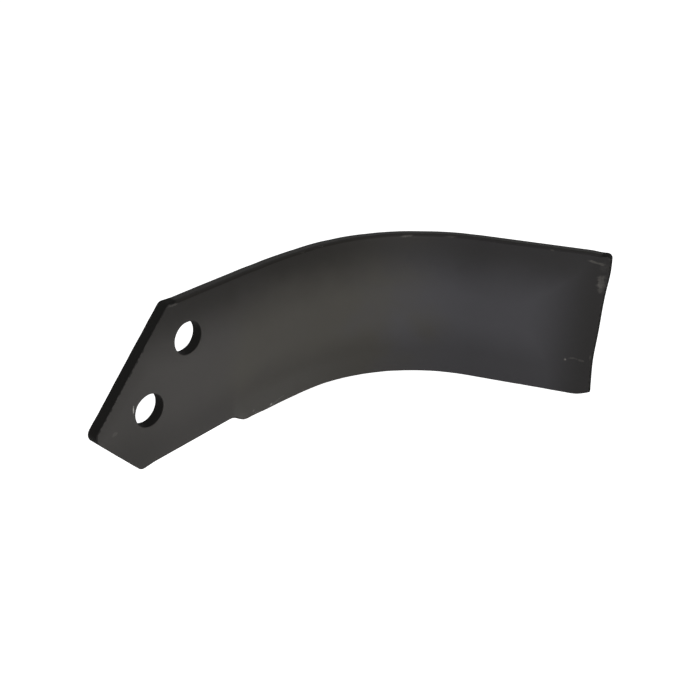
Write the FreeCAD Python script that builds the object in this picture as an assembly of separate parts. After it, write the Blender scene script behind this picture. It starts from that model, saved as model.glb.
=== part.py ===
import FreeCAD, Part
import math
import os

os.makedirs("parts", exist_ok=True)
Vector = FreeCAD.Vector

# Rotary tiller blade, forged in one piece from flat spring steel bar.
# Origin: middle of the two bolt holes, on the outer face that lies on the flange.
# +X runs along the bar from the holes to the wing, +Z across the bar to its back
# edge, and the wing is bent over towards -Y. The blade stands on its cutting edge.

# flat bar
barWidth = 90.0
barThickness = 7.0
arrisRadius = 1.5

# bolt holes, on a slanted line
holeDiameter = 19.0
holeSpacing = 44.0
holeLineAngle = 43.5
holeOffset = 4.7

# sheared shank end: long cut parallel to the hole line, short cut below it
longCutDistance = 26.2
shortCutAngle = 40.8
shortCutFoot = -24.6
topCornerRadius = 4.0
tipRadius = 5.0
footRadius = 5.0

# bend line, measured along the bar from the origin
bendStart = 56.0
entryRadius = 380.0
entryAngle = 8.5
mainRadius = 107.0
mainAngle = 61.5
wingEnd = 307.0

# drawn out cutting edge
drawnWidth = 9.0
bevelWidth = 19.0
innerBevelDepth = 3.0
outerBevelDepth = 2.0
cuttingArris = 0.6
shoulderHalf = 4.0
stepStart = 44.0
stepLength = 16.0
stepShare = 0.88
tailDelay = 12.0
tailLength = 24.0
blendLength = 8.0

# sheared wing end, slightly wavy, measured from the nominal end; its upper corner
# is worn round and the cutting edge lifts in a long curve to its lower corner
endWave = 0.7
endLag = 0.8
wingTopRadius = 3.0
liftLength = 12.0
liftHeight = 3.2

# reach of the cutting tools past the faces they cut
toolReach = 30.0

halfWidth = barWidth / 2
halfThickness = barThickness / 2
entryLength = entryRadius * math.radians(entryAngle)
mainLength = mainRadius * math.radians(mainAngle)
mainStart = bendStart + entryLength
wingStart = mainStart + mainLength
fullAngle = entryAngle + mainAngle
tailStart = stepStart + tailDelay
tailEnd = tailStart + tailLength
forgedStart = stepStart - blendLength
forgedEnd = tailEnd + blendLength


def tangentAt(angle):
    turn = math.radians(angle)
    return Vector(math.cos(turn), -math.sin(turn), 0)


def normalAt(angle):
    # towards the hollow side of the bend
    turn = math.radians(angle)
    return Vector(-math.sin(turn), -math.cos(turn), 0)


# bend centres, on the hollow side of the middle plane
shankMiddle = Vector(0, -halfThickness, -holeOffset)
entryFoot = shankMiddle + tangentAt(0) * bendStart
entryCentre = entryFoot + normalAt(0) * entryRadius
mainFoot = entryCentre - normalAt(entryAngle) * entryRadius
mainCentre = mainFoot + normalAt(entryAngle) * mainRadius
wingFoot = mainCentre - normalAt(fullAngle) * mainRadius


def station(along):
    # point on the middle plane and bend angle at a length along the bar
    if along <= bendStart:
        return shankMiddle + tangentAt(0) * along, 0.0
    if along <= mainStart:
        angle = math.degrees((along - bendStart) / entryRadius)
        return entryCentre - normalAt(angle) * entryRadius, angle
    if along <= wingStart:
        angle = entryAngle + math.degrees((along - mainStart) / mainRadius)
        return mainCentre - normalAt(angle) * mainRadius, angle
    return wingFoot + tangentAt(fullAngle) * (along - wingStart), fullAngle


def place(along, across, depth):
    foot, angle = station(along)
    return foot + normalAt(angle) * depth + Vector(0, 0, across)


def smooth(value, low, high):
    part = min(max((value - low) / (high - low), 0.0), 1.0)
    return part * part * (3 - 2 * part)


def drawnShare(along):
    # how far the edge is forged out at a length along the bar
    step = smooth(along, stepStart, stepStart + stepLength)
    tail = smooth(along, tailStart, tailEnd)
    return stepShare * step + (1 - stepShare) * tail


def cornerCut(before, corner, after, radius):
    # tangent points and middle point of a round corner in a flat outline
    toBefore = (before - corner).normalize()
    toAfter = (after - corner).normalize()
    half = toBefore.getAngle(toAfter) / 2
    reach = radius / math.tan(half)
    middle = (toBefore + toAfter).normalize()
    apex = corner + middle * (radius / math.sin(half) - radius)
    return corner + toBefore * reach, apex, corner + toAfter * reach


def section(along):
    # closed section of the bar: back edge, hollow face, cutting edge, outer face
    share = drawnShare(along)
    low = -halfWidth - drawnWidth * share
    inner = halfThickness - innerBevelDepth * share
    outer = -halfThickness + outerBevelDepth * share
    shoulder = low + bevelWidth
    arris = arrisRadius + (cuttingArris - arrisRadius) * share
    backOuter = place(along, halfWidth, -halfThickness)
    backInner = place(along, halfWidth, halfThickness)
    shoulderInner = place(along, shoulder, halfThickness)
    edgeInner = place(along, low, inner)
    edgeOuter = place(along, low, outer)
    shoulderOuter = place(along, shoulder, -halfThickness)
    innerSlope = (edgeInner - shoulderInner).normalize()
    outerSlope = (edgeOuter - shoulderOuter).normalize()
    up = Vector(0, 0, shoulderHalf)
    a1, a2, a3 = cornerCut(shoulderOuter, backOuter, backInner, arrisRadius)
    b1, b2, b3 = cornerCut(backOuter, backInner, shoulderInner, arrisRadius)
    c1 = shoulderInner + up
    c3 = shoulderInner + innerSlope * shoulderHalf
    d1, d2, d3 = cornerCut(shoulderInner, edgeInner, edgeOuter, arris)
    e1, e2, e3 = cornerCut(edgeInner, edgeOuter, shoulderOuter, arris)
    f1 = shoulderOuter + outerSlope * shoulderHalf
    f3 = shoulderOuter + up
    innerShoulder = Part.BezierCurve()
    innerShoulder.setPoles([c1, shoulderInner, c3])
    outerShoulder = Part.BezierCurve()
    outerShoulder.setPoles([f1, shoulderOuter, f3])
    edges = [Part.Arc(a1, a2, a3).toShape()]
    edges.append(Part.makeLine(a3, b1))
    edges.append(Part.Arc(b1, b2, b3).toShape())
    edges.append(Part.makeLine(b3, c1))
    edges.append(innerShoulder.toShape())
    edges.append(Part.makeLine(c3, d1))
    edges.append(Part.Arc(d1, d2, d3).toShape())
    edges.append(Part.makeLine(d3, e1))
    edges.append(Part.Arc(e1, e2, e3).toShape())
    edges.append(Part.makeLine(e3, f1))
    edges.append(outerShoulder.toShape())
    edges.append(Part.makeLine(f3, a1))
    return Part.Wire(edges)


# bar in five runs: flat shank, forged step, gentle entry, main bend, flat wing
shankBack = -longCutDistance - barWidth
shankRun = Part.Face(section(shankBack)).extrude(Vector(forgedStart - shankBack, 0, 0))
stepCount = 13
stepWires = []
for index in range(stepCount + 1):
    along = forgedStart + (forgedEnd - forgedStart) * index / stepCount
    stepWires.append(section(along))
stepRun = Part.makeLoft(stepWires, True, False)
upward = Vector(0, 0, -1)
entryLeft = math.degrees((mainStart - forgedEnd) / entryRadius)
entryRun = Part.Face(section(forgedEnd)).revolve(entryCentre, upward, entryLeft)
mainRun = Part.Face(section(mainStart)).revolve(mainCentre, upward, mainAngle)
wingSpan = wingEnd - wingStart + toolReach
wingRun = Part.Face(section(wingStart)).extrude(tangentAt(fullAngle) * wingSpan)
blade = shankRun.fuse([stepRun, entryRun, mainRun, wingRun])

# sheared shank end, with its three worn corners
slant = math.radians(holeLineAngle)
shortSlant = math.radians(shortCutAngle)
cutMiddle = Vector(-longCutDistance * math.cos(slant), 0, longCutDistance * math.sin(slant))
cutLine = Vector(math.sin(slant), 0, math.cos(slant))
backLevel = halfWidth - holeOffset
lowLevel = -halfWidth - holeOffset
topCorner = cutMiddle + cutLine * ((backLevel - cutMiddle.z) / cutLine.z)
foot = Vector(shortCutFoot, 0, lowLevel)
shortLine = Vector(-math.sin(shortSlant), 0, math.cos(shortSlant))
offset = foot - cutMiddle
turn = cutLine.x * shortLine.z - cutLine.z * shortLine.x
tip = cutMiddle + cutLine * ((offset.x * shortLine.z - offset.z * shortLine.x) / turn)
ahead = Vector(toolReach, 0, 0)
t1, t2, t3 = cornerCut(topCorner + ahead, topCorner, tip, topCornerRadius)
p1, p2, p3 = cornerCut(topCorner, tip, foot, tipRadius)
g1, g2, g3 = cornerCut(tip, foot, foot + ahead, footRadius)
above = Vector(t1.x, 0, backLevel + toolReach)
below = Vector(g3.x, 0, lowLevel - toolReach)
farLow = Vector(shankBack - toolReach, 0, lowLevel - toolReach)
farHigh = Vector(shankBack - toolReach, 0, backLevel + toolReach)
cutEdges = [Part.makeLine(above, t1)]
cutEdges.append(Part.Arc(t1, t2, t3).toShape())
cutEdges.append(Part.makeLine(t3, p1))
cutEdges.append(Part.Arc(p1, p2, p3).toShape())
cutEdges.append(Part.makeLine(p3, g1))
cutEdges.append(Part.Arc(g1, g2, g3).toShape())
cutEdges.append(Part.makeLine(g3, below))
cutEdges.append(Part.makeLine(below, farLow))
cutEdges.append(Part.makeLine(farLow, farHigh))
cutEdges.append(Part.makeLine(farHigh, above))
shankTool = Part.Face(Part.Wire(cutEdges))
shankTool.translate(Vector(0, toolReach, 0))
shankTool = shankTool.extrude(Vector(0, -2 * toolReach - barThickness, 0))
blade = blade.cut(shankTool)

# bolt holes
boreReach = Vector(0, toolReach, 0)
halfLine = cutLine * (holeSpacing / 2)
for centre in (halfLine, halfLine * -1):
    bore = Part.makeCylinder(holeDiameter / 2, 2 * toolReach, centre - boreReach, Vector(0, 1, 0))
    blade = blade.cut(bore)

# sheared wing end, with its two worn corners
lowEdge = -halfWidth - drawnWidth
backInto = place(wingEnd - toolReach, halfWidth, -toolReach)
endTop = place(wingEnd + endWave, halfWidth, -toolReach)
endHigh = place(wingEnd + 1.5 * endWave, halfWidth * 0.75, -toolReach)
endUpper = place(wingEnd, halfWidth * 0.4, -toolReach)
endMiddle = place(wingEnd - endLag, -halfWidth * 0.2, -toolReach)
endLower = place(wingEnd - 1.7 * endLag, -halfWidth * 0.7, -toolReach)
endFoot = place(wingEnd, lowEdge + liftHeight, -toolReach)
k1, k2, k3 = cornerCut(backInto, endTop, endHigh, wingTopRadius)
sheared = Part.BSplineCurve()
sheared.interpolate([k3, endHigh, endUpper, endMiddle, endLower, endFoot])
liftStart = wingEnd - liftLength
liftRadius = (liftLength**2 + liftHeight**2) / (2 * liftHeight)
halfLift = math.asin(liftLength / liftRadius) / 2
liftAlong = liftStart + liftRadius * math.sin(halfLift)
liftAcross = lowEdge + liftRadius * (1 - math.cos(halfLift))
liftFoot = place(liftStart, lowEdge, -toolReach)
lift = Part.Arc(endFoot, place(liftAlong, liftAcross, -toolReach), liftFoot)
beyondTop = place(wingEnd + 2 * toolReach, halfWidth + toolReach, -toolReach)
beyondLow = place(wingEnd + 2 * toolReach, lowEdge - toolReach, -toolReach)
startTop = k1 + Vector(0, 0, toolReach)
startLow = liftFoot - Vector(0, 0, toolReach)
endEdges = [Part.makeLine(startTop, k1)]
endEdges.append(Part.Arc(k1, k2, k3).toShape())
endEdges.append(sheared.toShape())
endEdges.append(lift.toShape())
endEdges.append(Part.makeLine(liftFoot, startLow))
endEdges.append(Part.makeLine(startLow, beyondLow))
endEdges.append(Part.makeLine(beyondLow, beyondTop))
endEdges.append(Part.makeLine(beyondTop, startTop))
wingTool = Part.Face(Part.Wire(endEdges)).extrude(normalAt(fullAngle) * (2 * toolReach))
blade = blade.cut(wingTool)

blade.exportStep("parts/blade.step")
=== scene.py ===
import math

import bmesh
import bpy
import numpy as np
from mathutils import Matrix, Vector, noise
from mathutils.geometry import delaunay_2d_cdt


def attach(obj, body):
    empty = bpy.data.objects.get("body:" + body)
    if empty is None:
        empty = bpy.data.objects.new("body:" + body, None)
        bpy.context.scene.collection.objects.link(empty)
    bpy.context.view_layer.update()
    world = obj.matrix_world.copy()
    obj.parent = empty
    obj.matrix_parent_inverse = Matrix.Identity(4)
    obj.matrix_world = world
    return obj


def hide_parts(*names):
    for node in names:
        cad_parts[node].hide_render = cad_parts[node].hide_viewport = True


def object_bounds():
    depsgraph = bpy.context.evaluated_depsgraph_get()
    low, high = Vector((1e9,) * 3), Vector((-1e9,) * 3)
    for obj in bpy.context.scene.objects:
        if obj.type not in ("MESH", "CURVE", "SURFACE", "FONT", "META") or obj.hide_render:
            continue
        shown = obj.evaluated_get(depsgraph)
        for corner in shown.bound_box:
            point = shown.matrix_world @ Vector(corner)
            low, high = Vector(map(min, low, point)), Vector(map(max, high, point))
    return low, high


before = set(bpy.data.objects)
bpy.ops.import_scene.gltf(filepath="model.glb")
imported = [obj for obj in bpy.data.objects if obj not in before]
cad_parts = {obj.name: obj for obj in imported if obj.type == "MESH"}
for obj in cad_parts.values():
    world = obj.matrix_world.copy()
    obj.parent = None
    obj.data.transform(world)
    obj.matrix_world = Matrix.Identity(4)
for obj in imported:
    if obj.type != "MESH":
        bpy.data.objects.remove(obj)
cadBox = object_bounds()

print("frame loaded")

# Sizes are in millimetres and degrees. A point on the flat blank has a length
# along the bar from the bolt holes, a height across it, and a depth from the
# middle plane towards the hollow side.
bladeShape = {
    "halfWidth": 45.0,
    "halfThickness": 3.5,
    "arris": 1.5,
    "holeRadius": 9.5,
    "holeSpacing": 44.0,
    "holeSlant": 43.5,
    "holeOffset": 4.7,
    "longCut": 26.2,
    "shortSlant": 40.8,
    "foot": -24.6,
    "topCorner": 4.0,
    "tipCorner": 5.0,
    "footCorner": 5.0,
    "bendStart": 56.0,
    "entryRadius": 380.0,
    "entryAngle": 8.5,
    "mainRadius": 107.0,
    "mainAngle": 61.5,
    "wingEnd": 307.0,
    "wingTopCorner": 3.0,
    "liftLength": 12.0,
    "liftHeight": 3.2,
    # how far the wing end bulges out, and at which height
    "endWave": ((0.0, -50.8), (-1.36, -31.5), (-0.8, -9.0), (0.0, 18.0), (1.05, 33.75), (0.78, 42.0)),
    "drawn": 9.0,
    "bevelWidth": 19.0,
    "innerBevel": 3.0,
    "outerBevel": 2.0,
    "cuttingArris": 0.6,
    "shoulder": 4.0,
    "lowEdgeStart": -15.0,
    "stepStart": 44.0,
    "stepLength": 16.0,
    "stepShare": 0.88,
    "tailDelay": 12.0,
    "tailLength": 24.0,
    "shearedArris": 0.3,
    "holeArris": 0.4,
    # any two places on the straight long edges; they only give the edges' direction
    "shankMark": 60.0,
    "wingMark": 200.0,
}

# spacings in millimetres and counts of points; the rim clearance is a share of the grid step
meshGrain = {
    "edgeStep": 0.9,
    "gridStep": 1.15,
    "lowEdgeStep": 3.0,
    "wingEndStep": 2.0,
    "wingEndTrim": (1.5, 0.5),
    "cornerClearance": 6.0,
    "rimClearance": 0.55,
    "lowEdgeBand": 0.5,
    "joinTolerance": 1e-6,
    "leastArea": 1e-4,
    "cornerSteps": 8,
    "liftSteps": 9,
    "arcSteps": 4,
    "wallSteps": 5,
    "holeSteps": 84,
}

# unevenness left by rolling, shearing and forging, in millimetres; it only ever
# takes material off, and the seeds pick its pattern
roughness = {
    "edgeDip": 0.3,
    "edgeGrain": 14.0,
    "edgeSeed": 2.5,
    "cornerLength": 13.0,
    "cornerHeightShare": 0.6,
    "topCornerDepth": 0.8,
    "lowCornerDepth": 0.5,
    "faceWander": 0.12,
    "faceGrain": 38.0,
    "faceSeeds": (11.0, 31.0),
    "hammerDepth": 0.06,
    "hammerGrain": 13.0,
    "hammerSeed": 5.0,
    "hammerOnShank": 0.3,
    "arrisWander": 0.55,
    "arrisGrain": 5.0,
    "arrisSeed": 5.5,
    "arrisLeft": 0.6,
}

shape = bladeShape
entryLength = shape["entryRadius"] * math.radians(shape["entryAngle"])
mainLength = shape["mainRadius"] * math.radians(shape["mainAngle"])
mainStart = shape["bendStart"] + entryLength
wingStart = mainStart + mainLength
fullAngle = math.radians(shape["entryAngle"] + shape["mainAngle"])
entryAngle = math.radians(shape["entryAngle"])


def smoothStep(value, low, high):
    part = np.clip((value - low) / (high - low), 0.0, 1.0)
    return part * part * (3 - 2 * part)


def drawnShare(along):
    start = shape["stepStart"]
    tail = start + shape["tailDelay"]
    step = smoothStep(along, start, start + shape["stepLength"])
    late = smoothStep(along, tail, tail + shape["tailLength"])
    return shape["stepShare"] * step + (1 - shape["stepShare"]) * late


def lowEdge(along):
    return -shape["halfWidth"] - shape["drawn"] * drawnShare(along)


def bend(along, across, depth):
    # folds the flat blank to its place; returns metres in the part's frame
    along, across, depth = np.broadcast_arrays(along, across, depth)
    entry = np.clip(along - shape["bendStart"], 0, entryLength) / shape["entryRadius"]
    main = np.clip(along - mainStart, 0, mainLength) / shape["mainRadius"]
    rest = np.clip(along - wingStart, 0, None)
    flat = np.minimum(along, shape["bendStart"])
    angle = entry + main
    forward = flat + shape["entryRadius"] * np.sin(entry)
    forward = forward + shape["mainRadius"] * (np.sin(entryAngle + main) - math.sin(entryAngle))
    forward = forward + rest * math.cos(fullAngle)
    inward = shape["entryRadius"] * (1 - np.cos(entry))
    inward = inward + shape["mainRadius"] * (math.cos(entryAngle) - np.cos(entryAngle + main))
    inward = inward + rest * math.sin(fullAngle)
    x = forward - depth * np.sin(angle)
    y = -shape["halfThickness"] - inward - depth * np.cos(angle)
    z = across - shape["holeOffset"]
    return np.stack([x, y, z], -1) * 0.001


def faceDepth(along, across, inner):
    # depth of the hollow or outer face, with the forged bevel over the cutting edge
    share = drawnShare(along)
    drop = shape["innerBevel"] if inner else shape["outerBevel"]
    slope = drop / shape["bevelWidth"]
    height = across - lowEdge(along)
    level = shape["bevelWidth"]
    soft = shape["shoulder"]
    ramp = slope * (level - height)
    curve = slope * (level + soft - height) ** 2 / (4 * soft)
    fall = np.where(height < level - soft, ramp, np.where(height < level + soft, curve, 0.0))
    side = 1 if inner else -1
    return side * (shape["halfThickness"] - share * fall)


def roundCorner(before, corner, after, radius):
    # points of a round corner in the flat outline
    steps = meshGrain["cornerSteps"]
    toBefore = (before - corner).normalized()
    toAfter = (after - corner).normalized()
    half = toBefore.angle(toAfter) / 2
    middle = (toBefore + toAfter).normalized()
    centre = corner + middle * (radius / math.sin(half))
    first = corner + toBefore * (radius / math.tan(half)) - centre
    last = corner + toAfter * (radius / math.tan(half)) - centre
    turn = math.atan2(first.x * last.y - first.y * last.x, first.dot(last))
    points = []
    for index in range(steps + 1):
        turned = Matrix.Rotation(turn * index / steps, 2) @ first
        points.append(centre + turned)
    return points


def smoothThrough(places, values):
    # a smooth curve through a few points, straight at both ends; returns it as a function
    places, values = np.array(places), np.array(values)
    gaps = np.diff(places)
    slopes = np.diff(values) / gaps
    count = len(places)
    system, target = np.eye(count), np.zeros(count)
    for index in range(1, count - 1):
        system[index, index - 1] = gaps[index - 1]
        system[index, index] = 2 * (gaps[index - 1] + gaps[index])
        system[index, index + 1] = gaps[index]
        target[index] = 6 * (slopes[index] - slopes[index - 1])
    bends = np.linalg.solve(system, target)

    def curve(place):
        index = min(max(int(np.searchsorted(places, place)) - 1, 0), count - 2)
        gap = gaps[index]
        before, after = (places[index + 1] - place) / gap, (place - places[index]) / gap
        value = before * values[index] + after * values[index + 1]
        cubic = (before**3 - before) * bends[index] + (after**3 - after) * bends[index + 1]
        value += cubic * gap**2 / 6
        return float(value)

    return curve


def shankRuns():
    # the long and the short cut meet in three round corners
    half = shape["halfWidth"]
    slant = math.radians(shape["holeSlant"])
    shortSlant = math.radians(shape["shortSlant"])
    cutLine = Vector((math.sin(slant), math.cos(slant)))
    cutMiddle = Vector((-math.cos(slant), math.sin(slant))) * shape["longCut"]
    cutMiddle.y += shape["holeOffset"]
    top = cutMiddle + cutLine * ((half - cutMiddle.y) / cutLine.y)
    foot = Vector((shape["foot"], -half))
    shortLine = Vector((-math.sin(shortSlant), math.cos(shortSlant)))
    offset = foot - cutMiddle
    turn = cutLine.x * shortLine.y - cutLine.y * shortLine.x
    tip = cutMiddle + cutLine * ((offset.x * shortLine.y - offset.y * shortLine.x) / turn)
    onBackEdge = Vector((shape["shankMark"], half))
    onLowEdge = Vector((shape["shankMark"], -half))
    return [
        (roundCorner(onBackEdge, top, tip, shape["topCorner"]), shape["shearedArris"]),
        (roundCorner(top, tip, foot, shape["tipCorner"]), shape["shearedArris"]),
        (roundCorner(tip, foot, onLowEdge, shape["footCorner"]), shape["shearedArris"]),
    ]


def liftedEdge(start, low):
    # the cutting edge rises in one arc to the wing's lower corner
    length, height = shape["liftLength"], shape["liftHeight"]
    radius = (length**2 + height**2) / (2 * height)
    points = []
    for turn in np.linspace(0, math.asin(length / radius), meshGrain["liftSteps"]):
        rise = radius * (1 - math.cos(turn))
        points.append(Vector((start + radius * math.sin(turn), low + rise)))
    return points


def wingRuns():
    # the drawn edge, the slightly wavy wing end and the back edge
    end, half = shape["wingEnd"], shape["halfWidth"]
    rolled, sheared = shape["arris"], shape["shearedArris"]
    liftStart = end - shape["liftLength"]
    lengths = np.arange(shape["lowEdgeStart"], liftStart - 1, meshGrain["lowEdgeStep"])
    lowPoints = [Vector((length, float(lowEdge(length)))) for length in lengths]
    waveLengths, waveHeights = zip(*shape["endWave"])
    wave = smoothThrough(waveHeights, waveLengths)
    trimLow, trimTop = meshGrain["wingEndTrim"]
    heights = np.arange(waveHeights[0] + trimLow, waveHeights[-1] - trimTop, meshGrain["wingEndStep"])
    endPoints = [Vector((end + wave(height), height)) for height in heights]
    corner = Vector((end + wave(half), half))
    onBackEdge = Vector((shape["wingMark"], half))
    clear = meshGrain["cornerClearance"]
    return [
        (lowPoints, rolled),
        (liftedEdge(liftStart, -half - shape["drawn"]), sheared),
        (endPoints, sheared),
        (roundCorner(endPoints[-1], corner, onBackEdge, shape["wingTopCorner"]), sheared),
        ([Vector((end - clear, half)), Vector((shape["topCorner"] + clear, half))], rolled),
    ]


def outlinePoints():
    # the blank's outline, anticlockwise seen from the hollow side, with edge radii
    line, radii = [], []
    for points, radius in shankRuns() + wingRuns():
        line += points
        radii += [radius] * len(points)
    return line, radii


def evenPoints(line, radii, step):
    # walks a closed outline in even steps, and eases the edge radius along it
    points = np.array([[p.x, p.y] for p in line])
    closed = np.vstack([points, points[:1]])
    lengths = np.concatenate([[0], np.cumsum(np.linalg.norm(np.diff(closed, axis=0), axis=1))])
    count = int(lengths[-1] / step)
    walk = np.linspace(0, lengths[-1], count, endpoint=False)
    x = np.interp(walk, lengths, closed[:, 0])
    y = np.interp(walk, lengths, closed[:, 1])
    radius = np.interp(walk, lengths, np.append(radii, radii[0]))
    return np.stack([x, y], -1), radius


def outwardNormals(points):
    ahead = np.roll(points, -1, axis=0) - np.roll(points, 1, axis=0)
    normal = np.stack([ahead[:, 1], -ahead[:, 0]], -1)
    return normal / np.linalg.norm(normal, axis=1, keepdims=True)


def insideLoop(spots, loop):
    # even-odd test of many spots against one closed loop
    inside = np.zeros(len(spots), bool)
    x, y = spots[:, 0], spots[:, 1]
    for first, last in zip(loop, np.roll(loop, -1, axis=0)):
        spans = (first[1] > y) != (last[1] > y)
        if first[1] != last[1]:
            slope = (last[0] - first[0]) / (last[1] - first[1])
            inside ^= spans & (x < first[0] + (y - first[1]) * slope)
    return inside


def distanceTo(spots, loop):
    # how far each spot is from the nearest point of a closed loop
    nearest = np.full(len(spots), np.inf)
    for point in loop:
        nearest = np.minimum(nearest, ((spots - point) ** 2).sum(1))
    return np.sqrt(nearest)


def gridInside(loops, step):
    # the spots of a square grid that lie well within the rims, and which cells are whole
    outer, holes = loops[0], loops[1:]
    low, high = outer.min(0), outer.max(0)
    columns = np.arange(low[0], high[0], step)
    rows = np.arange(low[1], high[1], step)
    spots = np.stack(np.meshgrid(columns, rows, indexing="ij"), -1)
    flat = spots.reshape(-1, 2)
    clearance = meshGrain["rimClearance"] * step
    keep = insideLoop(flat, outer) & (distanceTo(flat, outer) > clearance)
    for hole in holes:
        keep &= ~insideLoop(flat, hole) & (distanceTo(flat, hole) > clearance)
    keep = keep.reshape(len(columns), len(rows))
    whole = keep[:-1, :-1] & keep[1:, :-1] & keep[1:, 1:] & keep[:-1, 1:]
    return spots, keep, whole


def rimEdges(loops):
    # the closed rims as pairs of point numbers
    edges, first = [], 0
    for loop in loops:
        for index in range(len(loop)):
            edges.append((first + index, first + (index + 1) % len(loop)))
        first += len(loop)
    return edges


def openSides(cells):
    # the sides that belong to one cell only
    uses = {}
    for cell in cells.tolist():
        for start, end in zip(cell, cell[1:] + cell[:1]):
            side = frozenset((start, end))
            uses[side] = uses.get(side, 0) + 1
    return [side for side, count in uses.items() if count == 1]


def bandTriangles(flat, edges, loops, whole, step):
    # triangles between the rims and the whole cells, as numbers of the given points
    outer, holes = loops[0], loops[1:]
    made = delaunay_2d_cdt(flat, edges, [], 0, meshGrain["joinTolerance"])
    triangles = np.array([face for face in made[2] if len(face) == 3])
    corners = np.array([made[0][index][:] for index in triangles.ravel()]).reshape(-1, 3, 2)
    sides = corners[:, 1:] - corners[:, :1]
    size = sides[:, 0, 0] * sides[:, 1, 1] - sides[:, 0, 1] * sides[:, 1, 0]
    centres = corners.mean(1)
    wanted = insideLoop(centres, outer) & (size > meshGrain["leastArea"])
    for hole in holes:
        wanted &= ~insideLoop(centres, hole)
    place = np.floor((centres - outer.min(0)) / step).astype(int)
    gridded = (place < np.array(whole.shape)).all(1)
    place = place.clip(0, np.array(whole.shape) - 1)
    wanted &= ~(gridded & whole[place[:, 0], place[:, 1]])
    origin = np.array([source[0] for source in made[3]])  # which given point each one was
    return origin[triangles[wanted]]


def fillBlank(loops, step):
    # square cells over the flat blank, joined to its rims by triangles; returns points and faces
    spots, keep, whole = gridInside(loops, step)
    rimCount = sum(len(loop) for loop in loops)
    points = np.vstack(list(loops) + [spots[keep]])
    number = np.full(keep.shape, -1)
    number[keep] = rimCount + np.arange(keep.sum())
    cells = np.stack([number[:-1, :-1], number[1:, :-1], number[1:, 1:], number[:-1, 1:]], -1)[whole]
    cellsAround = np.zeros(keep.shape, int)
    for stepX, stepY in ((0, 0), (1, 0), (0, 1), (1, 1)):
        cellsAround[stepX:stepX + whole.shape[0], stepY:stepY + whole.shape[1]] += whole

    # the band needs only the rims and the spots that border on it
    loose = np.concatenate([np.arange(rimCount), number[keep & (cellsAround < 4)]])
    short = {int(index): place for place, index in enumerate(loose)}
    edges = rimEdges(loops)
    edges += [tuple(short[index] for index in side) for side in openSides(cells)]
    flat = [Vector(points[index]) for index in loose]
    triangles = loose[bandTriangles(flat, edges, loops, whole, step)]
    return points, cells.tolist() + triangles.tolist()


def ripple(along, across, grain, seed):
    # smooth noise between 0 and 1 over the blank; grain is its size in millimetres
    spots = zip(np.ravel(along) / grain, np.ravel(across) / grain)
    values = [noise.noise(Vector((x, y, seed))) for x, y in spots]
    return 0.5 + 0.5 * np.array(values).reshape(np.shape(along))


def rimWall(loop, normal, radius):
    # rows of points round a rim, from the hollow face over its wall to the outer face,
    # each with its share of wall: 0 where it still lies on a face, 1 on the wall itself
    inset = loop - normal * radius[:, None]
    near = faceDepth(inset[:, 0], inset[:, 1], True)
    far = faceDepth(inset[:, 0], inset[:, 1], False)
    arcSteps, wallSteps = meshGrain["arcSteps"], meshGrain["wallSteps"]

    def arris(step, face, side):
        turn = math.pi / 2 * step / arcSteps
        spot = inset + normal * (radius * math.sin(turn))[:, None]
        depth = face - side * radius * (1 - math.cos(turn))
        return np.column_stack([spot, depth]), math.sin(turn) ** 2

    rows = [arris(step, near, 1) for step in range(arcSteps + 1)]
    for step in range(1, wallSteps):
        part = step / wallSteps
        depth = (near - radius) * (1 - part) + (far + radius) * part
        rows.append((np.column_stack([loop, depth]), 1.0))
    rows += [arris(step, far, -1) for step in range(arcSteps, -1, -1)]
    return rows


def boltHole(side):
    # one bolt hole's rim, walked clockwise, with normals towards its middle
    slant = math.radians(shape["holeSlant"])
    reach = side * shape["holeSpacing"] / 2
    middle = np.array([math.sin(slant) * reach, shape["holeOffset"] + math.cos(slant) * reach])
    turn = -2 * math.pi * np.arange(meshGrain["holeSteps"]) / meshGrain["holeSteps"]
    normal = -np.stack([np.cos(turn), np.sin(turn)], -1)
    return middle - normal * shape["holeRadius"], normal


def edgeLoss(loop):
    # shearing and wear left shallow dips here and there along the outline
    broad = ripple(loop[:, 0], loop[:, 1], roughness["edgeGrain"], roughness["edgeSeed"])
    return roughness["edgeDip"] * np.clip(2 * broad - 1, 0, None)


def wearCorners(loop):
    # both corners of the wing end are worn down towards the middle
    end, half = shape["wingEnd"], shape["halfWidth"]
    share = smoothStep(loop[:, 0], end - roughness["cornerLength"], end - 1)
    share = share * smoothStep(np.abs(loop[:, 1]), roughness["cornerHeightShare"] * half, half)
    depth = np.where(loop[:, 1] > 0, roughness["topCornerDepth"], -roughness["lowCornerDepth"])
    return np.column_stack([loop[:, 0], loop[:, 1] - depth * share])


def raggedRadius(loop, radius, cut):
    # sheared arrises break unevenly, rolled ones hardly vary
    broken = ripple(loop[:, 0], loop[:, 1], roughness["arrisGrain"], roughness["arrisSeed"]) ** 2
    return np.where(cut, roughness["arrisLeft"] * radius + roughness["arrisWander"] * broken, radius)


def uneven(points):
    # lowers both faces here and there, and the walls with them
    along, across, depth = points.T
    near, far = faceDepth(along, across, True), faceDepth(along, across, False)
    share = np.clip((depth - far) / (near - far), 0, 1)
    onShank = roughness["hammerOnShank"]
    forged = onShank + (1 - onShank) * drawnShare(along)
    losses = []
    for seed in roughness["faceSeeds"]:
        rolled = ripple(along, across, roughness["faceGrain"], seed)
        hammered = ripple(along, across, roughness["hammerGrain"], seed + roughness["hammerSeed"])
        losses.append(roughness["faceWander"] * rolled + roughness["hammerDepth"] * forged * hammered)
    return np.column_stack([along, across, depth - share * losses[0] + (1 - share) * losses[1]])


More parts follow.
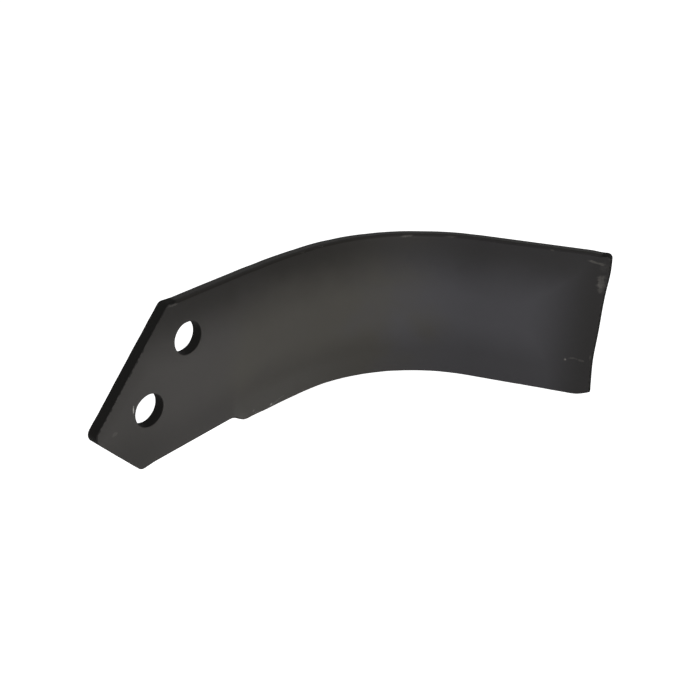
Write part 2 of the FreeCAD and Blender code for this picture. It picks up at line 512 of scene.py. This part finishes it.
def bladeMesh():
    line, radii = outlinePoints()
    outline, edgeRadius = evenPoints(line, radii, meshGrain["edgeStep"])
    onLow = outline[:, 1] < lowEdge(outline[:, 0]) + meshGrain["lowEdgeBand"]
    thinned = shape["arris"] + (shape["cuttingArris"] - shape["arris"]) * drawnShare(outline[:, 0])
    edgeRadius = np.where(onLow, np.minimum(edgeRadius, thinned), edgeRadius)
    outline = wearCorners(outline)
    outline = outline - outwardNormals(outline) * edgeLoss(outline)[:, None]
    smooth = [(outline, outwardNormals(outline), edgeRadius)]
    for side in (1, -1):
        loop, normal = boltHole(side)
        smooth.append((loop, normal, np.full(len(loop), shape["holeArris"])))
    rims = []
    for loop, normal, radius in smooth:
        rims.append((loop, normal, raggedRadius(loop, radius, radius <= shape["holeArris"])))
    insets = [loop - normal * radius[:, None] for loop, normal, radius in rims]
    flat, faces = fillBlank(insets, meshGrain["gridStep"])

    # both faces share the flat pattern; the walls join them rim to rim
    count = len(flat)
    nearFace = np.column_stack([flat, faceDepth(flat[:, 0], flat[:, 1], True)])
    farFace = np.column_stack([flat, faceDepth(flat[:, 0], flat[:, 1], False)])
    points, wallShares = [nearFace, farFace], [np.zeros(2 * count)]
    polygons = [list(face) for face in faces]
    polygons += [[index + count for index in reversed(face)] for face in faces]
    onWall = [False] * len(polygons)
    made, first = 2 * count, 0
    for loop, normal, radius in rims:
        rows = rimWall(loop, normal, radius)
        size = len(loop)
        numbers = [first + np.arange(size)]
        for row, share in rows[1:-1]:
            points.append(row)
            wallShares.append(np.full(size, share))
            numbers.append(made + np.arange(size))
            made += size
        numbers.append(count + first + np.arange(size))
        for upper, lower in zip(numbers, numbers[1:]):
            quads = np.stack([upper, lower, np.roll(lower, -1), np.roll(upper, -1)], -1)
            polygons += quads.tolist()
        onWall += [True] * (len(polygons) - len(onWall))
        first += size

    # how far each point lies from the nearest rim
    faceReach = np.min([distanceTo(flat, loop) for loop, normal, radius in rims], axis=0)
    reach = np.concatenate([faceReach, faceReach, np.zeros(made - 2 * count)])
    return uneven(np.vstack(points)), polygons, reach, np.concatenate(wallShares), onWall


blank, polygons, reach, wallShare, onWall = bladeMesh()
print("blade mesh", len(blank), "points", len(polygons), "faces")

mesh = bpy.data.meshes.new("forgedBlade")
mesh.from_pydata(bend(blank[:, 0], blank[:, 1], blank[:, 2]).tolist(), [], polygons)
mesh.update()
blankPlace = mesh.attributes.new("blankPlace", "FLOAT_VECTOR", "POINT")
blankPlace.data.foreach_set("vector", blank.astype(np.float32).ravel())
for name, values in (("edgeReach", reach), ("wallShare", wallShare)):
    attribute = mesh.attributes.new(name, "FLOAT", "POINT")
    attribute.data.foreach_set("value", values.astype(np.float32))
mesh.polygons.foreach_set("material_index", np.array(onWall, np.int32))
mesh.shade_smooth()
blade = bpy.data.objects.new("forgedBlade", mesh)
bpy.context.collection.objects.link(blade)
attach(blade, "root")
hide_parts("blade")
print("blade placed")


paintLook = {
    # warm, plain and cool: the paint's tone, and also painted light, with the bend and the wing set
    # lighter than the shank as a painted sheen
    "warm": (0.0530, 0.0500, 0.0440),
    "plain": (0.0480, 0.0455, 0.0430),
    "cool": (0.0510, 0.0500, 0.0545),
    # painted shade: the dark painted along the long edges, the long cut and the wing end
    "shadeColour": (0.0125, 0.0115, 0.0105),
    # painted shade on the cut and hole walls
    "wall": (0.0105, 0.0102, 0.0096),
    # painted shade on the top rolled edge, which is turned away from the light
    "backEdge": (0.0300, 0.0290, 0.0275),
    "scuffAndGlint": (0.080, 0.076, 0.070),
    "steel": (0.42, 0.41, 0.39),
    "faceRoughness": 0.42,
    "wallRoughness": 0.7,
    "glossSwing": (0.3, 0.7, -0.05, 0.05),
    "scuffRoughness": 0.12,
    "faceSpecular": 0.10,
    "wallSpecular": 0.02,
}
bumpLook = {
    "strength": 0.35,
    "metres": 0.00006,
    "peel": 0.6,
    "fine": 0.8,
    "shear": 2.2,
    "shearStretch": (1, 1, 0.12),
    "worn": 0.8,
}

# where the paint's tone and the painted shade change, in millimetres on the flat blank: start and
# end, then the share of painted shade at each where it is not simply 0 and 1; the drifts
# are how far noise moves these places about
toneAndShadePlaces = {
    "warm": (30, 80),
    "cool": (140, 210),
    "toneDrift": 120,
    "heightDrift": 16,
    "wingToShank": (190, 120),
    "top": (0, 42, 0.0, 0.76),
    "shankTop": (20, 44, 0.0, 0.16),
    "low": (-10, -38, 0.0, 0.34),
    "shank": (10, -35, 0.0, 0.22),
    "longCut": (20, 1, 0.0, 0.36),
    "wingEnd": (258, 304, 0.0, 0.85),
    "backEdgeHeight": (41, 44.5),
    "backEdgeLength": (304, 300),
    "blackByLongCut": (6, 4),
    "blackByWingEnd": (300, 303),
}

# each noise in the paint: its size in millimetres, its detail, and where it starts
paintGrain = {
    "broad": (42, 3, (0, 0, 0)),
    "fine": (3.2, 3, (0, 0, 0)),
    "speck": (0.9, 2, (0, 0, 0)),
    "patchy": (11, 3, (40, 9, 3)),
    "nibble": (2.4, 3, (7, 3, 1)),
    "peel": (1.6, 2, (0, 0, 0)),
    "marks": (1.1, 3, (0, 0, 0)),
}

# how wear, the painted highlights and the painted shade along the cuts break up: from and to, in the
# noise's own values or in millimetres, then what it gives at each
wearLook = {
    "ragged": 1.5,
    "spotBorder": (0.35, 1.15),
    "hollowDepth": (-0.5, 0.3),
    "spotSpeck": (0.3, 0.6, 0.75, 1.0),
    "edgeBand": (0.2, 2.4, 1.0, 0.0),
    "edgePatch": (0.52, 0.68),
    "edgeSpeck": (0.45, 0.7, 0.0, 0.4),
    "toScuff": (0.05, 0.6),
    "toSteel": (0.6, 1.0),
    "blackRun": (0.35, 0.65, 0.2, 1.3),
    "blackBorder": (0.2, -0.1),
}

# worn places and painted highlights on the hollow face, in millimetres on the flat blank:
# length along, height across, half length, half height, turn in degrees, strength
wearAndGlintPlaces = {
    "scarByHole": (-25.8, -6.3, 0.6, 3.2, -6, 1.0),
    "smudgeBySlant": (-39.0, -14.8, 2.4, 1.7, 20, 0.3),
    # painted highlight: a glint along the top arris near the corner
    "topCornerGlint": (6.0, 43.4, 7.0, 0.8, -4, 0.3),
    # painted highlight where the forged step's facet catches the light
    "stepBulgeHighlight": (56.0, -48.4, 8.0, 2.8, -26, 0.2),
    "edgeChipA": (65.0, -49.2, 1.2, 1.2, 0, 0.7),
    "edgeRubB": (68.0, -52.0, 5.0, 0.9, -8, 0.4),
    "edgeChipC": (80.6, -51.9, 2.2, 1.5, 10, 0.8),
    "edgeRubC": (83.0, -51.6, 5.0, 1.3, 0, 0.45),
    "edgeScratchD": (88.4, -49.9, 3.6, 0.5, 15, 0.5),
    "edgeRubF": (107.8, -52.2, 3.0, 0.8, 8, 0.3),
    # the next two: rubbed paint along the top arris, lightened further as a painted highlight
    "wingTopRubAndGlint": (181.0, 43.8, 6.0, 0.9, 5, 0.42),
    "wingTopStripAndGlint": (208.5, 44.0, 6.0, 0.8, 2, 0.3),
    "wingTopChip": (272.2, 43.6, 1.8, 0.9, 0, 0.3),
    "cornerRub": (299.6, 39.2, 7.5, 1.1, -9, 0.36),
    "cornerShine": (297.0, 39.8, 2.6, 0.8, -9, 0.45),
    "cornerFade": (304.6, 37.0, 4.5, 4.5, 0, 0.17),
    "cornerPatch": (303.8, 26.2, 3.8, 7.2, 4, 0.36),
    "cornerPatchCore": (303.4, 25.4, 2.2, 4.6, 6, 0.45),
    "endScratchA": (288.7, -28.4, 1.2, 1.3, 30, 0.72),
    "endScratchB": (292.4, -26.9, 3.4, 0.7, 12, 0.3),
    "endScratchC": (297.4, -27.3, 3.4, 1.3, -14, 0.28),
    "endRub": (303.8, -24.5, 0.9, 2.6, 0, 0.26),
}


def addNode(tree, kind, **settings):
    node = tree.nodes.new(kind)
    for name, value in settings.items():
        setattr(node, name, value)
    return node


def maths(tree, operation, first, second=None, clamp=False):
    node = addNode(tree, "ShaderNodeMath", operation=operation, use_clamp=clamp)
    for socket, value in zip(node.inputs, (first, second)):
        if value is None:
            continue
        if isinstance(value, (int, float)):
            socket.default_value = value
        else:
            tree.links.new(value, socket)
    return node.outputs[0]


def times(tree, first, second):
    return maths(tree, "MULTIPLY", first, second)


def plus(tree, first, second):
    return maths(tree, "ADD", first, second)


def larger(tree, first, second, clamp=False):
    return maths(tree, "MAXIMUM", first, second, clamp)


def swing(tree, grain, amount):
    # noise that swings evenly about nought
    return times(tree, maths(tree, "SUBTRACT", grain, 0.5), amount)


def between(tree, value, low, high, toLow=0.0, toHigh=1.0):
    # eases a value from one range to another
    node = addNode(tree, "ShaderNodeMapRange", interpolation_type="SMOOTHSTEP")
    tree.links.new(value, node.inputs["Value"])
    node.inputs["From Min"].default_value = low
    node.inputs["From Max"].default_value = high
    node.inputs["To Min"].default_value = toLow
    node.inputs["To Max"].default_value = toHigh
    return node.outputs["Result"]


def grainNoise(tree, place, name, stretch=(1, 1, 1)):
    # one noise of paintGrain, laid over the blank
    size, detail, offset = paintGrain[name]
    mapping = addNode(tree, "ShaderNodeMapping")
    tree.links.new(place, mapping.inputs["Vector"])
    mapping.inputs["Scale"].default_value = stretch
    mapping.inputs["Location"].default_value = offset
    node = addNode(tree, "ShaderNodeTexNoise")
    tree.links.new(mapping.outputs[0], node.inputs["Vector"])
    node.inputs["Scale"].default_value = 1.0 / size
    node.inputs["Detail"].default_value = detail
    return node.outputs["Fac"]


def tint(tree, share, first, second):
    # mixes two colours, each a tuple or a socket
    node = addNode(tree, "ShaderNodeMix", data_type="RGBA")
    tree.links.new(share, node.inputs[0])
    for socket, value in ((node.inputs[6], first), (node.inputs[7], second)):
        if isinstance(value, tuple):
            socket.default_value = (*value, 1)
        else:
            tree.links.new(value, socket)
    return node.outputs[2]


def wearAndGlintMask(tree, place, ragged):
    # all worn places and painted highlights in one mask, with ragged borders
    total = None
    for along, across, halfLength, halfHeight, turn, strength in wearAndGlintPlaces.values():
        mapping = addNode(tree, "ShaderNodeMapping", vector_type="TEXTURE")
        tree.links.new(place, mapping.inputs["Vector"])
        mapping.inputs["Location"].default_value = (along, across, 0)
        mapping.inputs["Rotation"].default_value = (0, 0, math.radians(turn))
        mapping.inputs["Scale"].default_value = (halfLength, halfHeight, 1000)  # depth hardly counts
        reach = addNode(tree, "ShaderNodeVectorMath", operation="LENGTH")
        tree.links.new(mapping.outputs[0], reach.inputs[0])
        rough = plus(tree, reach.outputs["Value"], ragged)
        spot = between(tree, rough, *wearLook["spotBorder"], strength, 0.0)
        total = spot if total is None else larger(tree, total, spot)
    return total


def attributeOf(tree, name, output="Fac"):
    return addNode(tree, "ShaderNodeAttribute", attribute_name=name).outputs[output]


def fromLongCut(tree, place):
    # millimetres in from the long slanted cut
    slant = math.radians(shape["holeSlant"])
    dot = addNode(tree, "ShaderNodeVectorMath", operation="DOT_PRODUCT")
    tree.links.new(place, dot.inputs[0])
    dot.inputs[1].default_value = (math.cos(slant), -math.sin(slant), 0)
    start = shape["longCut"] + shape["holeOffset"] * math.sin(slant)
    return plus(tree, dot.outputs["Value"], start)


def toneAndSheen(tree, along, broad):
    # warm on the shank and the bend, cooler on the wing; the hue is the paint's tone, while the
    # brightness along the bar is painted light, the bend and the wing painted lighter than the shank
    # as a painted sheen
    drifted = plus(tree, along, swing(tree, broad, toneAndShadePlaces["toneDrift"]))
    warmth = between(tree, drifted, *toneAndShadePlaces["warm"])
    colour = tint(tree, warmth, paintLook["plain"], paintLook["warm"])
    return tint(tree, between(tree, drifted, *toneAndShadePlaces["cool"]), colour, paintLook["cool"])


def paintedShadeShare(tree, along, across, fromCut, broad):
    # painted shade: darker towards the long edges, the long cut and the wing end, and on the shank's
    # end
    height = plus(tree, across, swing(tree, broad, toneAndShadePlaces["heightDrift"]))
    onShank = between(tree, along, *toneAndShadePlaces["wingToShank"])
    shankTop = times(tree, between(tree, height, *toneAndShadePlaces["shankTop"]), onShank)
    top = plus(tree, between(tree, height, *toneAndShadePlaces["top"]), shankTop)
    shank = between(tree, along, *toneAndShadePlaces["shank"])
    low = plus(tree, between(tree, height, *toneAndShadePlaces["low"]), shank)
    cut = between(tree, fromCut, *toneAndShadePlaces["longCut"])
    end = between(tree, along, *toneAndShadePlaces["wingEnd"])
    return larger(tree, larger(tree, top, low), larger(tree, cut, end))


def wearAndGlintShare(tree, place, depth, edgeReach, fine):
    # worn places and painted highlights on the hollow face, and specks of bare steel along the edges
    speck = grainNoise(tree, place, "speck")
    spots = wearAndGlintMask(tree, place, swing(tree, fine, wearLook["ragged"]))
    spots = times(tree, spots, between(tree, depth, *wearLook["hollowDepth"]))
    spots = times(tree, spots, between(tree, speck, *wearLook["spotSpeck"]))
    nearEdge = between(tree, edgeReach, *wearLook["edgeBand"])
    patchy = grainNoise(tree, place, "patchy")
    specks = times(tree, nearEdge, between(tree, patchy, *wearLook["edgePatch"]))
    specks = times(tree, specks, between(tree, speck, *wearLook["edgeSpeck"]))
    return larger(tree, spots, specks, True)


def cutWallShade(tree, place, along, fromCut, edgeReach, cutWall):
    # painted shade: every wall but the top edge's is painted nearly black, and the dark runs raggedly
    # onto the face along the long cut and the wing end
    byLongCut = between(tree, fromCut, *toneAndShadePlaces["blackByLongCut"])
    byWingEnd = between(tree, along, *toneAndShadePlaces["blackByWingEnd"])
    nibble = grainNoise(tree, place, "nibble")
    width = between(tree, nibble, *wearLook["blackRun"])
    run = between(tree, maths(tree, "SUBTRACT", edgeReach, width), *wearLook["blackBorder"])
    return larger(tree, cutWall, times(tree, run, larger(tree, byLongCut, byWingEnd)))


def surfaceGrain(tree, place, fine, black, wearAndGlint):
    # orange peel over the faces, shear marks across the cut ones
    peel = grainNoise(tree, place, "peel")
    marks = grainNoise(tree, place, "marks", bumpLook["shearStretch"])
    grain = plus(tree, times(tree, peel, bumpLook["peel"]), times(tree, fine, bumpLook["fine"]))
    grain = plus(tree, grain, times(tree, times(tree, marks, black), bumpLook["shear"]))
    return maths(tree, "SUBTRACT", grain, times(tree, wearAndGlint, bumpLook["worn"]))


def paintedSteel(name, specular):
    # one coat over everything; only its gloss differs between the faces and the walls
    material = bpy.data.materials.new(name)
    material.use_nodes = True
    tree = material.node_tree
    shader = tree.nodes["Principled BSDF"]
    shader.inputs["Specular IOR Level"].default_value = specular
    place = attributeOf(tree, "blankPlace", "Vector")
    parts = addNode(tree, "ShaderNodeSeparateXYZ")
    tree.links.new(place, parts.inputs[0])
    along, across, depth = parts.outputs
    edgeReach = attributeOf(tree, "edgeReach")
    wallShare = attributeOf(tree, "wallShare")
    fromCut = fromLongCut(tree, place)
    broad = grainNoise(tree, place, "broad")
    fine = grainNoise(tree, place, "fine")

    colour = toneAndSheen(tree, along, broad)
    # painted shade: darker towards the long edges, the long cut, the shank's end and the wing end
    shadeShare = paintedShadeShare(tree, along, across, fromCut, broad)
    colour = tint(tree, shadeShare, colour, paintLook["shadeColour"])
    wearAndGlint = wearAndGlintShare(tree, place, depth, edgeReach, fine)
    # scuffs, bare steel and painted highlights, lighter towards the scuff colour and then the steel
    colour = tint(tree, between(tree, wearAndGlint, *wearLook["toScuff"]), colour, paintLook["scuffAndGlint"])
    colour = tint(tree, between(tree, wearAndGlint, *wearLook["toSteel"]), colour, paintLook["steel"])
    # painted shade: the top rolled edge's wall is painted darker than the face, though less dark than
    # the other walls
    backHeight = between(tree, across, *toneAndShadePlaces["backEdgeHeight"])
    onBack = times(tree, backHeight, between(tree, along, *toneAndShadePlaces["backEdgeLength"]))
    colour = tint(tree, times(tree, wallShare, onBack), colour, paintLook["backEdge"])
    # painted shade: the walls are painted nearly black
    cutWall = times(tree, wallShare, maths(tree, "SUBTRACT", 1.0, onBack))
    black = cutWallShade(tree, place, along, fromCut, edgeReach, cutWall)
    colour = tint(tree, black, colour, paintLook["wall"])
    tree.links.new(colour, shader.inputs["Base Color"])

    gloss = between(tree, black, 0.0, 1.0, paintLook["faceRoughness"], paintLook["wallRoughness"])
    gloss = plus(tree, gloss, between(tree, broad, *paintLook["glossSwing"]))
    scuffAndGlint = times(tree, wearAndGlint, paintLook["scuffRoughness"])
    tree.links.new(maths(tree, "ADD", gloss, scuffAndGlint, True), shader.inputs["Roughness"])

    bump = addNode(tree, "ShaderNodeBump")
    bump.inputs["Strength"].default_value = bumpLook["strength"]
    bump.inputs["Distance"].default_value = bumpLook["metres"]
    tree.links.new(surfaceGrain(tree, place, fine, black, wearAndGlint), bump.inputs["Height"])
    tree.links.new(bump.outputs[0], shader.inputs["Normal"])
    return material


mesh.materials.append(paintedSteel("blackPaintFace", paintLook["faceSpecular"]))
mesh.materials.append(paintedSteel("blackPaintEdge", paintLook["wallSpecular"]))
print("paint made")


studioLook = {
    "floorReach": 4.0,
    "floorGlow": 0.9,
    "floorColour": (0.9, 0.9, 0.9, 1),
    "ambient": 0.22,
}

# azimuth from the hollow side towards the wing, elevation, distance, size, power
lampPlaces = {
    "keyPanel": (-32, 12, 1.3, 0.8, 16.0),
    "backPanel": (182, 14, 1.4, 0.9, 9.0),
}


def seenDirectly(tree):
    # 1 for what the camera, a reflection or a clear material sees, 0 for scattered light
    path = addNode(tree, "ShaderNodeLightPath")
    seen = larger(tree, path.outputs["Is Camera Ray"], path.outputs["Is Glossy Ray"])
    return larger(tree, seen, path.outputs["Is Transmission Ray"])


def whiteFloor():
    # shows white, and a little darker where the blade keeps the light off
    build = bmesh.new()
    bmesh.ops.create_grid(build, x_segments=8, y_segments=8, size=studioLook["floorReach"])
    floorMesh = bpy.data.meshes.new("studioFloor")
    build.to_mesh(floorMesh)
    build.free()
    floor = bpy.data.objects.new("studioFloor", floorMesh)
    floor.location.z = cadBox[0].z
    bpy.context.collection.objects.link(floor)
    material = bpy.data.materials.new("whitePaper")
    material.use_nodes = True
    tree = material.node_tree
    tree.nodes.clear()
    paper = addNode(tree, "ShaderNodeBsdfDiffuse")
    paper.inputs["Color"].default_value = studioLook["floorColour"]
    glow = addNode(tree, "ShaderNodeEmission")
    glowShare = times(tree, seenDirectly(tree), studioLook["floorGlow"])
    tree.links.new(glowShare, glow.inputs["Strength"])
    both = addNode(tree, "ShaderNodeAddShader")
    tree.links.new(paper.outputs[0], both.inputs[0])
    tree.links.new(glow.outputs[0], both.inputs[1])
    output = addNode(tree, "ShaderNodeOutputMaterial")
    tree.links.new(both.outputs[0], output.inputs["Surface"])
    floorMesh.materials.append(material)


def whiteWorld():
    world = bpy.data.worlds.new("studioWorld")
    bpy.context.scene.world = world
    world.use_nodes = True
    tree = world.node_tree
    sky = tree.nodes["Background"]
    sky.inputs["Color"].default_value = (1, 1, 1, 1)
    skyShare = larger(tree, seenDirectly(tree), studioLook["ambient"])
    tree.links.new(skyShare, sky.inputs["Strength"])


def hangLamps():
    middle = (cadBox[0] + cadBox[1]) / 2
    for name, (azimuth, elevation, distance, size, power) in lampPlaces.items():
        turn, rise = math.radians(azimuth), math.radians(elevation)
        flat = math.cos(rise)
        away = Vector((math.sin(turn) * flat, -math.cos(turn) * flat, math.sin(rise)))
        data = bpy.data.lights.new(name, "AREA")
        data.shape = "SQUARE"
        data.size = size
        data.energy = power
        lamp = bpy.data.objects.new(name, data)
        lamp.location = middle + away * distance
        lamp.rotation_euler = away.to_track_quat("Z", "Y").to_euler()
        bpy.context.collection.objects.link(lamp)


whiteFloor()
whiteWorld()
hangLamps()
print("studio lit")

cameraView = {
    "place": (-0.29194, -0.36182, 0.25224),
    "turn": (62.335, -1.002, -51.121),
    "lens": 49.154,
    "sensor": 36.0,
}
cameraData = bpy.data.cameras.new("mainCamera")
cameraData.lens = cameraView["lens"]
cameraData.sensor_width = cameraView["sensor"]
camera = bpy.data.objects.new("mainCamera", cameraData)
camera.location = cameraView["place"]
camera.rotation_euler = [math.radians(angle) for angle in cameraView["turn"]]
bpy.context.collection.objects.link(camera)
bpy.context.scene.camera = camera

bpy.context.scene.view_settings.view_transform = "Standard"

bpy.context.view_layer.update()
